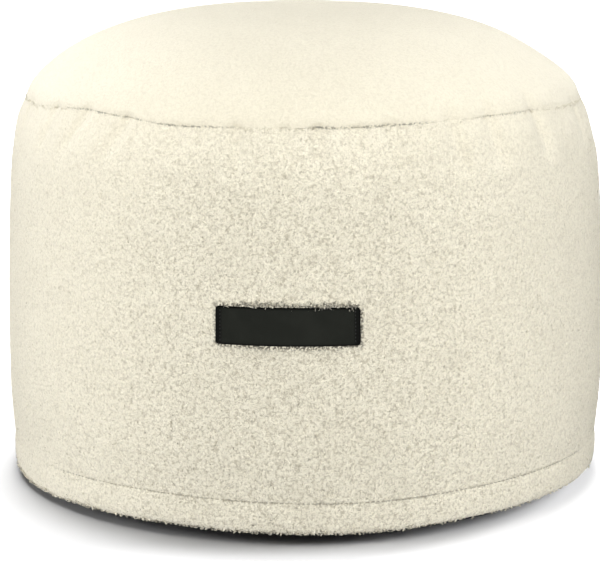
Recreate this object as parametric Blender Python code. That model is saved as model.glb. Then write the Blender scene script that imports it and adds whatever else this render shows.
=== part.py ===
"""Round bean bag footstool in metres, +Z up, with its origin at the centre of the base on the floor.

A drum of curly cloth filled with beads: a crowned top panel, a side strip with gathers under the top seam
and a stitched hem, a dark base cloth, and a leather label on the front. The front faces -Y. Azimuths are in
degrees from the front, towards +X.
"""

import math
from typing import NamedTuple

import bmesh
import bpy
from mathutils import Vector

GAP = 0.0003  # clearance between two pieces that meet

TOP_HEIGHT = 0.4318  # crown above the floor
CROWN_ROUND = 0.715  # powers of the crown's curve: how full its shoulder is
CROWN_RISE = 1.375
LEAN = -0.0028  # how far the crown stands to one side of the base, along X

SEAM_HEIGHT = 0.352
SEAM_RADIUS = 0.2555  # where the two panels would meet without the seam's sink
SEAM_SINK = 0.0045  # depth of the sunk seam
SEAM_SPREAD = 0.0035  # height over which the sink fades
SEAM_FLAT = 0.235  # the panels meet on a flat disc inside this radius
SEAM_FADE = 0.085  # how far down the side the seam's rise and fall is felt

HEM_EDGE = 0.010  # lower edge of the hem above the floor
HEM_THICKNESS = 0.008  # doubled curly cloth
HEM_RADIUS = 0.2748
HEM_FULLNESS = 0.0008  # how much the hem swells between its edge and its stitching
STITCH_HEIGHT = 0.0356
STITCH_SINK = 0.0026
STITCH_SPREAD = 0.003
HEM_FADE = 0.09  # how far up the side the hem's rise and fall is felt

BASE_TOP = 0.034  # the base cloth fills the hem up to here
BASE_ROUND = 0.003  # rounded lower edge of the base cloth
BASE_INSET = 0.030  # ring of the base where its flat face starts

LABEL_LENGTH = 0.1215
LABEL_WIDTH = 0.0323
LABEL_THICKNESS = 0.002
LABEL_CORNER = 0.003
LABEL_CORNER_STEPS = 4
LABEL_HEIGHT = 0.1892  # its centre above the floor
LABEL_AZIMUTH = -3.0
LABEL_BOW_TOP = 0.0013  # how far its unsewn middle stands off the cloth at its upper edge
LABEL_BOW_FOOT = 0.0022  # and at its lower edge
LABEL_STRIPS = 16

STATION_STEP = 5.0  # azimuth between two upright rows of points where the cloth is plain
GATHER_FLANK = 1.3  # azimuth between a gather's middle and its flanks
STATION_LEAST = 0.9  # plain rows closer than this to a gather's rows are dropped
SHARP_ANGLE = 50.0  # edges sharper than this are shaded as creases


class Section(NamedTuple):
    height: float
    radius: float


class Wander(NamedTuple):
    azimuth: float
    rise: float


class Gather(NamedTuple):
    azimuth: float
    depth: float
    width: float
    below: float  # how far it runs down the side
    above: float  # how far it runs up the top panel


class Swell(NamedTuple):
    lobes: int
    height: float
    azimuth: float


# The side's outline between the hem's stitching and the top seam.
SIDE_SECTIONS = (
    Section(0.0356, 0.2748),
    Section(0.058, 0.2773),
    Section(0.086, 0.2790),
    Section(0.143, 0.2788),
    Section(0.213, 0.2768),
    Section(0.289, 0.2728),
    Section(0.325, 0.2668),
    Section(0.352, 0.2555),
)
SIDE_RINGS = (0.048, 0.068, 0.100, 0.145, 0.190, 0.235, 0.275, 0.305, 0.326, 0.339, 0.3465, 0.350)
CROWN_RINGS = (0.05, 0.14, 0.26, 0.42, 0.62, 0.86, 1.12, 1.36)  # angles along the crown's curve

# How the top seam and the hem rise and fall on their way round.
SEAM_WANDER = (
    Wander(-158, 0.0020),
    Wander(-121, -0.0010),
    Wander(-94, 0.0012),
    Wander(-69, 0.0002),
    Wander(-49, 0.0050),
    Wander(-36, 0.0030),
    Wander(-26, -0.0006),
    Wander(-7, 0.0004),
    Wander(10, 0.0003),
    Wander(20, 0.0015),
    Wander(42, 0.0030),
    Wander(53, 0.0030),
    Wander(75, -0.0005),
    Wander(101, 0.0020),
    Wander(137, 0.0000),
    Wander(170, 0.0026),
)
HEM_WANDER = (
    Wander(-150, 0.0012),
    Wander(-108, 0.0022),
    Wander(-80, -0.0012),
    Wander(-62, -0.0024),
    Wander(-45, 0.0002),
    Wander(-28, 0.0014),
    Wander(0, -0.0002),
    Wander(14, -0.0002),
    Wander(32, 0.0024),
    Wander(62, 0.0028),
    Wander(95, 0.0008),
    Wander(140, 0.0024),
)

# Folds that the top seam gathers into the side, and some of them into the top panel.
GATHERS = (
    Gather(-57, 0.0018, 0.007, 0.040, 0.004),
    Gather(-44, 0.0026, 0.007, 0.034, 0.005),
    Gather(-29, 0.0008, 0.009, 0.022, 0.003),
    Gather(-15, 0.0020, 0.006, 0.030, 0.004),
    Gather(-4, 0.0012, 0.006, 0.018, 0.003),
    Gather(10, 0.0014, 0.006, 0.020, 0.004),
    Gather(19, 0.0014, 0.007, 0.024, 0.006),
    Gather(33, 0.0024, 0.007, 0.042, 0.016),
    Gather(43, 0.0022, 0.007, 0.044, 0.020),
    Gather(56, 0.0020, 0.008, 0.040, 0.022),
    Gather(71, 0.0012, 0.008, 0.030, 0.010),
    Gather(86, 0.0022, 0.007, 0.038, 0.006),
    Gather(99, 0.0016, 0.007, 0.026, 0.012),
    Gather(117, 0.0024, 0.008, 0.044, 0.008),
    Gather(131, 0.0012, 0.006, 0.022, 0.004),
    Gather(144, 0.0020, 0.007, 0.036, 0.016),
    Gather(162, 0.0026, 0.008, 0.046, 0.010),
    Gather(176, 0.0014, 0.006, 0.024, 0.004),
    Gather(-170, 0.0018, 0.007, 0.034, 0.008),
    Gather(-153, 0.0024, 0.007, 0.040, 0.018),
    Gather(-138, 0.0012, 0.007, 0.024, 0.004),
    Gather(-124, 0.0022, 0.008, 0.042, 0.010),
    Gather(-106, 0.0016, 0.006, 0.028, 0.006),
    Gather(-90, 0.0022, 0.008, 0.038, 0.012),
    Gather(-73, 0.0012, 0.007, 0.026, 0.005),
)

# Slight lobes that the filling leaves in the side.
SWELLS = (Swell(3, 0.0006, 40), Swell(5, 0.0005, -75), Swell(8, 0.0003, 110))


def ease(share):
    """0 up to 0, 1 from 1, and a smooth rise between."""
    share = min(max(share, 0.0), 1.0)
    return share * share * (3.0 - 2.0 * share)


def smooth(rows, place):
    """Reads a smooth curve through rows of (place, value) at one place."""
    k = max(i for i in range(len(rows) - 1) if i == 0 or rows[i][0] <= place)
    start, end = rows[k], rows[k + 1]
    before, after = rows[max(k - 1, 0)], rows[min(k + 2, len(rows) - 1)]
    span = end[0] - start[0]
    out_slope = (end[1] - before[1]) / (end[0] - before[0]) * span
    in_slope = (after[1] - start[1]) / (after[0] - start[0]) * span
    t = (place - start[0]) / span
    bend = t * (1.0 - t)
    return (
        start[1] * (1.0 - t) * (1.0 + bend - t * t)
        + end[1] * t * (1.0 + bend - (1.0 - t) ** 2)
        + bend * ((1.0 - t) * out_slope - t * in_slope)
    )


def round_and_round(rows, azimuth):
    """Reads such a curve that closes on itself after 360 degrees."""
    turn = [type(rows[0])(row[0] + 360.0, row[1]) for row in rows]
    back = [type(rows[0])(row[0] - 360.0, row[1]) for row in rows]
    return smooth([*back[-2:], *rows, *turn[:2]], (azimuth - rows[0][0]) % 360.0 + rows[0][0])


def turned(azimuth, towards):
    """The signed angle between two azimuths, in degrees."""
    return (azimuth - towards + 180.0) % 360.0 - 180.0


def on_wall(radius):
    """1 on the outer cloth near the top seam, 0 on the flat disc inside it."""
    return ease((radius - SEAM_FLAT) / (SEAM_RADIUS - SEAM_SINK - SEAM_FLAT))


def gathered(azimuth, height, radius):
    """How far the gathers draw the cloth in at one place."""
    drawn = 0.0
    for gather in GATHERS:
        across = math.radians(turned(azimuth, gather.azimuth)) * SEAM_RADIUS / gather.width
        if abs(across) > 4.0:
            continue
        reach = gather.below if height < SEAM_HEIGHT else gather.above
        along = (height - SEAM_HEIGHT) / reach
        drawn += gather.depth * math.exp(-across * across - along * along)
    return drawn * on_wall(radius)


def swollen(azimuth, height):
    """How far the filling pushes the side out at one place."""
    share = ease((height - STITCH_HEIGHT) / HEM_FADE) * ease((SEAM_HEIGHT - height) / SEAM_FADE)
    return share * sum(
        swell.height * math.sin(swell.lobes * math.radians(azimuth - swell.azimuth)) for swell in SWELLS
    )


def sunk(height):
    """How far the seam and the hem's stitching draw the cloth in."""
    at_seam = SEAM_SINK * math.exp(-abs(height - SEAM_HEIGHT) / SEAM_SPREAD)
    at_stitch = STITCH_SINK * math.exp(-(((height - STITCH_HEIGHT) / STITCH_SPREAD) ** 2))
    return at_seam + at_stitch


def side_radius(height):
    """Radius of the side above the hem's stitching, before gathers and swells."""
    return smooth(SIDE_SECTIONS, height) - sunk(height)


def placed(azimuth, radius, height):
    """The point of the finished cloth for one point of the plain turned shape."""
    rise = round_and_round(SEAM_WANDER, azimuth) * on_wall(radius)
    rise *= 1.0 - ease((SEAM_HEIGHT - height) / SEAM_FADE)
    hem_share = ease((radius - HEM_RADIUS + HEM_THICKNESS) / (HEM_THICKNESS / 2))
    hem_share *= 1.0 - ease((height - STITCH_HEIGHT) / HEM_FADE)
    rise += round_and_round(HEM_WANDER, azimuth) * hem_share
    radius += swollen(azimuth, height) - gathered(azimuth, height, radius)
    angle = math.radians(azimuth)
    lean = LEAN * (height / TOP_HEIGHT) ** 2
    return Vector((radius * math.sin(angle) + lean, -radius * math.cos(angle), height + rise))


def stations():
    """Azimuths of the upright rows of points: three at each gather, and even steps between."""
    rows = [(g.azimuth + side * GATHER_FLANK) % 360.0 for g in GATHERS for side in (-1, 0, 1)]
    for k in range(round(360.0 / STATION_STEP)):
        plain = k * STATION_STEP
        if min(abs(turned(plain, row)) for row in rows) > STATION_LEAST:
            rows.append(plain)
    return sorted(rows)


def turned_solid(profile):
    """A closed solid of revolution with the cloth's folds; its profile starts and ends on the axis."""
    rows = stations()
    bm = bmesh.new()
    points = [bm.verts.new((0.0, -radius, height)) for radius, height in profile]
    edges = [bm.edges.new(pair) for pair in zip(points, points[1:])]
    bmesh.ops.spin(
        bm, geom=[*points, *edges], axis=(0, 0, 1), angle=math.tau, steps=len(rows), use_merge=True
    )
    bmesh.ops.remove_doubles(bm, verts=bm.verts, dist=1e-6)
    for vert in bm.verts:
        even = math.atan2(vert.co.x, -vert.co.y) / math.tau * len(rows)
        vert.co = placed(rows[round(even) % len(rows)], math.hypot(vert.co.x, vert.co.y), vert.co.z)
    bmesh.ops.triangulate(bm, faces=bm.faces, quad_method="SHORT_EDGE")  # alike on both sides of a gap
    bmesh.ops.recalc_face_normals(bm, faces=bm.faces)
    return bm


def material(name, colour, roughness, sheen=0.0):
    made = bpy.data.materials.new(name)
    made.use_nodes = True
    shader = made.node_tree.nodes["Principled BSDF"]
    shader.inputs["Base Color"].default_value = (*colour, 1.0)
    shader.inputs["Roughness"].default_value = roughness
    shader.inputs["Metallic"].default_value = 0.0
    shader.inputs["Sheen Weight"].default_value = sheen
    return made


def add(name, bm, finish, parent):
    mesh = bpy.data.meshes.new(name)
    bm.to_mesh(mesh)
    bm.free()
    mesh.materials.append(finish)
    mesh.shade_smooth()
    mesh.set_sharp_from_angle(angle=math.radians(SHARP_ANGLE))
    piece = bpy.data.objects.new(name, mesh)
    piece.parent = parent
    bpy.context.scene.collection.objects.link(piece)
    return piece


def top_panel():
    """The crowned disc of cloth, filled down to the level of its seam."""
    rise = TOP_HEIGHT - SEAM_HEIGHT
    crown = []
    for angle in CROWN_RINGS:
        height = SEAM_HEIGHT + rise * math.sin(angle) ** CROWN_RISE
        crown.append((SEAM_RADIUS * math.cos(angle) ** CROWN_ROUND - sunk(height), height))
    floor = SEAM_HEIGHT + GAP / 2
    rim = (SEAM_RADIUS - SEAM_SINK, floor)
    return turned_solid([(0.0, floor), (SEAM_FLAT, floor), rim, *crown, (0.0, TOP_HEIGHT)])


def side_panel():
    """The filled side strip, from the top seam to the hem that hangs round the base."""
    half = HEM_THICKNESS / 2
    inner = HEM_RADIUS - HEM_THICKNESS
    edge = [
        (inner + half - half * math.cos(turn), HEM_EDGE + half - half * math.sin(turn))
        for turn in (0.0, math.pi / 4, math.pi / 2, 3 * math.pi / 4, math.pi)
    ]
    hem = [(HEM_RADIUS + HEM_FULLNESS, (HEM_EDGE + STITCH_HEIGHT) / 2)]
    for off in (-STITCH_SPREAD, 0.0, STITCH_SPREAD):
        hem.append((HEM_RADIUS - sunk(STITCH_HEIGHT + off), STITCH_HEIGHT + off))
    side = [(side_radius(height), height) for height in SIDE_RINGS]
    ceiling = SEAM_HEIGHT - GAP / 2
    return turned_solid(
        [
            (0.0, BASE_TOP),
            (inner, BASE_TOP),
            *edge,
            *hem,
            *side,
            (SEAM_RADIUS - SEAM_SINK, ceiling),
            (SEAM_FLAT, ceiling),
            (0.0, ceiling),
        ]
    )


def base_panel():
    """The dark base cloth, filled, flat on the floor with a rounded lower edge."""
    radius = HEM_RADIUS - HEM_THICKNESS - GAP
    edge = [
        (radius - BASE_ROUND * (1 - math.sin(turn)), BASE_ROUND * (1 - math.cos(turn)))
        for turn in (0.0, math.pi / 6, math.pi / 3, math.pi / 2)
    ]
    return turned_solid(
        [(0.0, 0.0), (radius - BASE_INSET, 0.0), *edge, (radius, BASE_TOP - GAP), (0.0, BASE_TOP - GAP)]
    )


def label():
    """The leather strip, bent round the side and sewn down at its two short ends."""
    bm = bmesh.new()
    bmesh.ops.create_cube(bm, size=1.0)
    bmesh.ops.scale(bm, vec=(LABEL_LENGTH, LABEL_THICKNESS, LABEL_WIDTH), verts=bm.verts)
    corners = [e for e in bm.edges if abs(e.verts[0].co.y - e.verts[1].co.y) > LABEL_THICKNESS / 2]
    bmesh.ops.bevel(
        bm,
        geom=corners,
        offset=LABEL_CORNER,
        segments=LABEL_CORNER_STEPS,
        profile=0.5,
        affect="EDGES",
        material=-1,
    )
    for k in range(1, LABEL_STRIPS):
        cut = (k / LABEL_STRIPS - 0.5) * LABEL_LENGTH
        bmesh.ops.bisect_plane(
            bm, geom=[*bm.verts, *bm.edges, *bm.faces], plane_co=(cut, 0, 0), plane_no=(1, 0, 0)
        )
    bend = side_radius(LABEL_HEIGHT)
    for vert in bm.verts:
        along, outward, up = vert.co.x, LABEL_THICKNESS / 2 - vert.co.y, vert.co.z
        bow = LABEL_BOW_FOOT + (LABEL_BOW_TOP - LABEL_BOW_FOOT) * (up / LABEL_WIDTH + 0.5)
        bow *= 1.0 - (2.0 * along / LABEL_LENGTH) ** 2
        radius = side_radius(LABEL_HEIGHT + up) + GAP + bow + outward
        vert.co = placed(LABEL_AZIMUTH + math.degrees(along / bend), radius, LABEL_HEIGHT + up)
    bmesh.ops.recalc_face_normals(bm, faces=bm.faces)
    return bm


def main():
    for old in list(bpy.data.objects):
        bpy.data.objects.remove(old, do_unlink=True)
    footstool = bpy.data.objects.new("footstool", None)
    bpy.context.scene.collection.objects.link(footstool)
    curly = material("curly_cloth", (0.82, 0.77, 0.66), 0.95, sheen=0.3)
    dark = material("base_cloth", (0.012, 0.012, 0.013), 0.9)
    leather = material("label_leather", (0.017, 0.017, 0.015), 0.55)
    add("top_panel", top_panel(), curly, footstool)
    add("side_panel", side_panel(), curly, footstool)
    add("base_panel", base_panel(), dark, footstool)
    add("label", label(), leather, footstool)


main()
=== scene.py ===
# Dresses the round bean bag footstool: curly cloth, stitched hem, dark base cloth and leather label.
import math

import bmesh
import bpy
import numpy as np
from mathutils import Matrix, Vector


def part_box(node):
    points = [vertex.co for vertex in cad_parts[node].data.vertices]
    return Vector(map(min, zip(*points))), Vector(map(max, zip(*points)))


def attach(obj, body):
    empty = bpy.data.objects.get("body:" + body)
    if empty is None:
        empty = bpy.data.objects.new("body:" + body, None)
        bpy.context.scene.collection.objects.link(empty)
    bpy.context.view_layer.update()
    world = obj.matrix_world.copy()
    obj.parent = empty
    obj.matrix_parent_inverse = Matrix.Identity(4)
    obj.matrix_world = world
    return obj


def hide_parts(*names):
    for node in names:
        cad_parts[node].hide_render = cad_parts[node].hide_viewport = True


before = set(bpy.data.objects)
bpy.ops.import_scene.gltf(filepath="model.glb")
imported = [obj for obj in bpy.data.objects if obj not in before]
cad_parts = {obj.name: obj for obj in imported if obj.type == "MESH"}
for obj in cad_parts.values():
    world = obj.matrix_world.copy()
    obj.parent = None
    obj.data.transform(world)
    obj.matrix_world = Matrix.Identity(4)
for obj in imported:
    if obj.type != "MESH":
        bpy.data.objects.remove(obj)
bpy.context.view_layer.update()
scene = bpy.context.scene
millimetre = 0.001
tinyRadius = 0.01

# Azimuths are in degrees from the front, -Y, towards +X. Other sizes are in metres.
baseHigh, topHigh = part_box("base_panel")[1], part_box("top_panel")[1]

side = {
    "segments": 660,
    "step": 0.0027,  # between rings
    "fineStep": 0.0009,  # at the seam and the stitches
    "fineReach": 0.005, "sample": 0.0005,
    "curlSize": (0.45, 0.55, 1.3),  # least, more for fullness, most fullness
    "pile": [  # height, how full the curls stand; they are fuller towards the foot
        (0.0, 1.75), (0.09, 1.65), (0.20, 1.45), (0.29, 1.3), (0.33, 0.95), (0.35, 0.7),
    ],
    "sections": [  # height, radius
        (0.0356, 0.2748), (0.058, 0.2768), (0.086, 0.2784), (0.143, 0.2782), (0.213, 0.2762),
        (0.289, 0.2721), (0.325, 0.2657), (0.352, 0.2555),
    ],
    "swells": [(3, 0.0006, 40), (5, 0.0005, -75), (8, 0.0003, 110)],  # lobes, height, azimuth
}
seam = {
    "height": 0.352, "radius": 0.2555, "sink": 0.0006, "spread": 0.0012,
    "flat": 0.235,  # the two panels meet on a flat disc inside this radius
    "flatMargin": 0.004, "flatDrop": 0.0015, "fade": 0.085, "gap": 0.00004, "fineZone": 0.012,
    "fineRows": 40, "shadeSpread": 0.0009,
    "dash": (0.3, 1.0, 0.2),  # how dark its dashes of painted shade are: least, more by chance, less for all
    "curlBand": (-0.0026, -0.0003),  # curls hang over the seam from here, above it
    "curlDepth": 0.012,
    "curlShare": (0.04, 0.96, 1.3),  # least, more where the seam is shut, openness that has none
    "wander": [  # azimuth, rise
        (-158, 0.0020), (-121, -0.0010), (-94, 0.0012), (-69, 0.0002), (-49, 0.0050),
        (-36, 0.0030), (-26, -0.0006), (-7, 0.0004), (10, 0.0003), (20, 0.0015), (42, 0.0030),
        (53, 0.0030), (75, -0.0005), (101, 0.0020), (137, 0.0000), (170, 0.0026),
    ],
    "openness": [  # azimuth, how deep the seam is and how dark its painted shade
        (-160, 1.0), (-120, 0.4), (-80, 0.0), (-60, 0.25), (-46, 1.1), (-30, 1.0), (-20, 1.5),
        (-12, 0.5), (-2, 0.2), (4, 1.3), (18, 1.5), (27, 0.5), (42, 1.0), (56, 0.4), (74, 0.0),
        (110, 0.9), (150, 0.6),
    ],
}
gathers = [  # azimuth; millimetres deep, wide, down the side, up the top panel; slant
    (-58, 2.9, 7, 40, 4, 0.2), (-46.5, 4.4, 6, 36, 5, 0.6), (-35.5, 3.8, 6, 34, 4, 0.5),
    (-24, 1.3, 9, 22, 3, 0.1), (-12.5, 4, 5.5, 34, 4, -0.05), (-3.5, 2.6, 6, 20, 2, 0),
    (2.5, 4.6, 5.5, 32, 3, 0), (10, 3, 5, 22, 3, 0), (16, 3.2, 6, 26, 4, -0.05),
    (29, 4, 7, 40, 14, -0.1), (38, 4.2, 7, 42, 18, -0.1), (51, 4, 8, 40, 22, -0.2),
    (71, 1.9, 8, 30, 10, 0), (86, 3.5, 7, 38, 6, 0.2), (99, 2.6, 7, 26, 12, -0.2),
    (117, 3.8, 8, 44, 8, 0.1), (131, 1.9, 6, 22, 4, 0), (144, 3.2, 7, 36, 16, -0.3),
    (162, 4.2, 8, 46, 10, 0.2), (176, 2.2, 6, 24, 4, 0), (-170, 2.9, 7, 34, 8, 0.2),
    (-153, 3.8, 7, 40, 18, -0.2), (-138, 1.9, 7, 24, 4, 0.1), (-124, 3.5, 8, 42, 10, 0.3),
    (-106, 2.6, 6, 28, 6, -0.2), (-90, 3.5, 8, 38, 12, 0.1), (-73, 1.9, 7, 26, 5, 0.2),
]
hem = {
    "edge": 0.0072, "thickness": 0.008, "radius": 0.2748, "fullness": 0.0008,
    "height": 0.0356,  # of its stitches
    "turnSteps": 9, "rows": 44, "stitchCount": 376,
    "stitchShift": 0.06,  # degrees, by chance
    "seed": 8, "stitchLength": 0.0031, "finish": "hemThread",
    "thread": 0.0004,  # radius
    "threadRise": 0.4,  # share of the thread's radius
    "threadSink": 0.0003,
    "buried": 0.0011,  # depth of the thread in the pile where the line fades
    "stitchSink": 0.0007, "stitchSpread": 0.0010, "shadeSpread": 0.0009,
    # dash: how dark the stitched line's dashes of painted shade are: least, more by chance, less for all
    "dash": (0.2, 0.9, 0.0), "fade": 0.09,
    "hidden": (0.0001, 0.002),  # the fold inside the base cloth: outward, upward
    "edgeReach": 0.0035,  # of the lower edge's curls
    "edgeInset": 0.0008,
    "edgeSize": (1.05, 0.35, 1.0),  # least, more for fullness, most fullness
    "wander": [  # azimuth, rise
        (-150, 0.0012), (-108, 0.0022), (-80, -0.0012), (-62, -0.0024), (-45, 0.0002),
        (-28, 0.0014), (0, -0.0002), (14, -0.0002), (32, 0.0024), (62, 0.0028), (95, 0.0008),
        (140, 0.0024),
    ],
    "openness": [  # azimuth, how deep the stitched line is and how dark its painted shade
        (-150, 0.8), (-88, 0.0), (-68, 0.1), (-46, 0.7), (-20, 0.9), (10, 1.0), (40, 1.0),
        (60, 0.7), (84, 0.1), (140, 0.8),
    ],
}
top = {
    "cells": 118,  # across the disc, before it is made finer
    "round": 0.715, "rise": 1.375, "lean": -0.0028, "samples": 400, "flatZone": 0.003,
    "underZone": 0.001,
    "pileShare": 0.28,  # the seat's pile is pressed flatter
    "curlSize": 0.6,
    # Its flatter shoulder: azimuth, degrees wide, height, reach, depth.
    "dent": (88, 34, 0.392, 0.019, 0.0042),
}
base = {
    "tuck": 0.028, "lift": 0.016, "shoulder": 0.022, "top": 0.034, "margin": 0.004, "turnSteps": 10,
    "rings": 12, "segments": 160,
}
label = {
    "length": 0.1215, "width": 0.0323, "thickness": 0.002, "corner": 0.003, "edgeRound": 0.0005,
    "cuts": (60, 16),  # along, up
    "height": 0.1892, "azimuth": -3.0,
    "wallRadius": 0.2782,  # of the cloth behind it
    "bowTop": 0.0008, "bowFoot": 0.0016,
    "stitchInset": 0.0042,  # from the short ends
    "stitchPitch": 0.0031, "stitchLength": 0.0021,
    "stitchMargin": 0.005,  # no stitches here, both sides together
    "finish": "labelThread",
    "thread": 0.00035,  # radius
    # shade, shadeReach: strength and reach of the painted shadow in the cloth round the label
    "shade": 1.5, "shadeReach": 0.0036,
    "shadeBelow": (0.8, 1.4, 0.045),  # the painted shadow reaches further below its middle; full at the middle, fades along
    "bare": (0.001, 0.003),  # cloth with no curls: beyond the edge, fade
    "rimInset": 0.004,  # curls over the upper edge stop this far from the ends
    "rimBand": (-0.0008, 0.0024),
    "darkRim": (0.0006, 0.0018),  # width, fade
    "darkEnds": (0.0055, 0.0015, 0.8),  # width, fade, strength
}
# painted shade along the seam, the hem's stitches and round the label: seed, dashes in a turn, darkest share
sewing = {"seed": 9, "dashes": 420, "shade": 0.8}
pile = {
    "standing": [  # azimuth, how full the curls stand; they lie flatter round the sides
        (-150, 0.75), (-95, 0.4), (-62, 0.42), (-36, 0.62), (-18, 1.0), (16, 1.0), (36, 0.68),
        (62, 0.5), (95, 0.45), (150, 0.75),
    ],
    "bump": 0.0012,
    "height": 0.0011,  # relief of the curls in the cloth's own surface
    "level": 0.6,  # of the field that stays where the plain cloth is
    "cells": [(310, 0.36, (0.0, 0.0, 0.0)), (560, 0.38, (0.3, 0.1, 0.7))],  # curls a metre, share, shift
    "crest": 1.05, "slope": 1.1,
    "fine": (900, 0.28, (0.9, 0.4, 0.2), 5.0, 0.6),  # curls a metre, share, shift, steepness, distortion
}
curls = {
    "kinds": 6, "shapeSeed": 5, "sideSeed": 1, "topSeed": 2, "sizeSeed": 4,
    "loop": 0.0014, "loopRange": (0.8, 1.2), "yarn": 0.0007, "yarnRange": (0.85, 1.1),
    "bendRange": (1.6, 3.2),  # radians
    "rise": 0.4,  # in millimetres
    "riseRange": (0.2, 0.9), "tip": 0.72, "steps": 2, "sides": 3, "pitch": 0.0036,
    "most": 400000,  # for each square metre
    "sink": 0.0006, "topSink": 0.0003, "tilt": 0.3, "sizes": (0.75, 1.25),
    "sideParts": [("front", (-45, 45)), ("right", (45, 135)), ("back", (135, 225)), ("left", (-135, -45))],
    "topParts": [("front", (-90, 90)), ("back", (90, 270))],
    "lines": [  # name, share, pitch, seed, sink, tilt, size
        ("hem_edge_curls", "edgeShare", 0.0024, 3, -0.0009, 1.2, "edgeSize"),
        ("label_edge_curls", "rimShare", 0.0016, 4, -0.0020, 1.2, "edgeSize"),
        ("seam_curls", "seamShare", 0.0019, 5, -0.0009, 0.9, "curlSize"),
    ],
}
rims = {  # open rims between two heights, and how they are drawn in before they are filled
    "foot": (0.0, 0.1, (0.5,)),
    "seam": (0.3, 0.4, (seam["flat"] / seam["radius"], 0.5)),
}
flatEdge = seam["flat"] + seam["flatMargin"]
inner = hem["radius"] - hem["thickness"]
halfLength, halfWidth = label["length"] / 2, label["width"] / 2


# Reading the tables.
def ease(share):
    share = np.clip(share, 0.0, 1.0)
    return share * share * (3.0 - 2.0 * share)


def smoothRows(rows, place):  # a smooth curve through rows of (place, value)
    rows = np.array(rows, float)
    x, y = rows[:, 0], rows[:, 1]
    slopes = np.gradient(y, x)
    slopes[1:-1] = (y[2:] - y[:-2]) / (x[2:] - x[:-2])
    k = np.clip(np.searchsorted(x, place, side="right") - 1, 0, len(x) - 2)
    span = x[k + 1] - x[k]
    t = (place - x[k]) / span
    bend = t * (1.0 - t)
    return (
        y[k] * (1.0 - t) * (1.0 + bend - t * t)
        + y[k + 1] * t * (1.0 + bend - (1.0 - t) ** 2)
        + bend * span * ((1.0 - t) * slopes[k] - t * slopes[k + 1])
    )


def roundRows(rows, azimuth):  # the same, closed on itself after a full turn
    rows = sorted(rows)
    before = [(a - 360.0, v) for a, v in rows[-2:]]
    after = [(a + 360.0, v) for a, v in rows[:2]]
    start = rows[0][0]
    return smoothRows([*before, *rows, *after], (azimuth - start) % 360.0 + start)


def fromAzimuth(azimuth, other):
    return (azimuth - other + 180.0) % 360.0 - 180.0


# The cloth's shape: as the solids', with deeper gathers and finer lines.
def onWall(radius):
    return ease((radius - seam["flat"]) / (seam["radius"] - seam["sink"] - seam["flat"]))


def aboveLine(line, azimuth, height):
    return height - line["height"] - roundRows(line["wander"], azimuth)


def gathered(azimuth, radius, height):
    drawn = np.zeros_like(height)
    below = seam["height"] - height
    for place, *sizes, slant in gathers:
        depth, width, down, up = (size * millimetre for size in sizes)
        across = np.radians(fromAzimuth(azimuth, place)) * seam["radius"] + slant * np.maximum(below, 0.0)
        reach = np.where(below > 0, down, up)
        fall = np.exp(-((across / width) ** 2) - (below / reach) ** 2)
        drawn += depth * fall
    return drawn * onWall(radius)


def swollen(azimuth, height):
    share = ease((height - hem["height"]) / hem["fade"])
    share = share * ease((seam["height"] - height) / seam["fade"])
    out = np.zeros_like(height)
    for lobes, high, place in side["swells"]:
        out += high * np.sin(lobes * np.radians(azimuth - place))
    return share * out


def sideRadius(height):
    return smoothRows(side["sections"], height)


def placed(azimuth, radius, height):
    azimuth, radius, height = (np.asarray(v, float) for v in (azimuth, radius, height))
    rise = roundRows(seam["wander"], azimuth) * onWall(radius)
    rise = rise * (1.0 - ease((seam["height"] - height) / seam["fade"]))
    hemShare = ease((radius - hem["radius"] + hem["thickness"]) / (hem["thickness"] / 2))
    hemShare = hemShare * (1.0 - ease((height - hem["height"]) / hem["fade"]))
    rise = rise + roundRows(hem["wander"], azimuth) * hemShare
    radius = radius + swollen(azimuth, height) - gathered(azimuth, radius, height)
    place, wide, high, reach, depth = top["dent"]
    dent = np.exp(-((fromAzimuth(azimuth, place) / wide) ** 2) - ((height - high) / reach) ** 2)
    radius = radius - depth * dent * (height > seam["height"])
    angle = np.radians(azimuth)
    lean = top["lean"] * (height / topHigh[2]) ** 2
    return np.stack([radius * np.sin(angle) + lean, -radius * np.cos(angle), height + rise], -1)


def carved(points):  # draws the cloth in along its seam and its stitches
    azimuth, radius, height = polar(points)
    drawn = seam["sink"] * roundRows(seam["openness"], azimuth)
    drawn = drawn * np.exp(-np.abs(aboveLine(seam, azimuth, height)) / seam["spread"]) * onWall(radius)
    above = aboveLine(hem, azimuth, height) / hem["stitchSpread"]
    sunk = hem["stitchSink"] * roundRows(hem["openness"], azimuth)
    drawn += sunk * np.exp(-(above**2)) * (radius > hem["radius"] - hem["thickness"] / 2)
    scale = 1.0 - drawn / np.maximum(radius, tinyRadius)
    return points * np.stack([scale, scale, np.ones_like(scale)], -1)


# Making and finishing meshes.
def facesOut(bm):
    bmesh.ops.recalc_face_normals(bm, faces=bm.faces)


def shown(thing):
    scene.collection.objects.link(thing)
    return thing


def makePiece(name, bm, finish=None):
    mesh = bpy.data.meshes.new(name)
    bm.to_mesh(mesh)
    bm.free()
    mesh.shade_smooth()
    if finish:
        mesh.materials.append(finish)
    return shown(bpy.data.objects.new(name, mesh))


def grid(name, across, up, size=1.0, finish=None):
    bm = bmesh.new()
    bmesh.ops.create_grid(bm, x_segments=across, y_segments=up, size=size)
    return makePiece(name, bm, finish)


def meshOf(piece):
    bm = bmesh.new()
    bm.from_mesh(piece.data)
    return bm


def putBack(piece, bm):
    bm.to_mesh(piece.data)
    bm.free()
    piece.data.shade_smooth()


def vertsOf(parts):
    return [v for v in parts if isinstance(v, bmesh.types.BMVert)]


def middleOf(verts):
    return sum((v.co for v in verts), Vector()) / len(verts)


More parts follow.
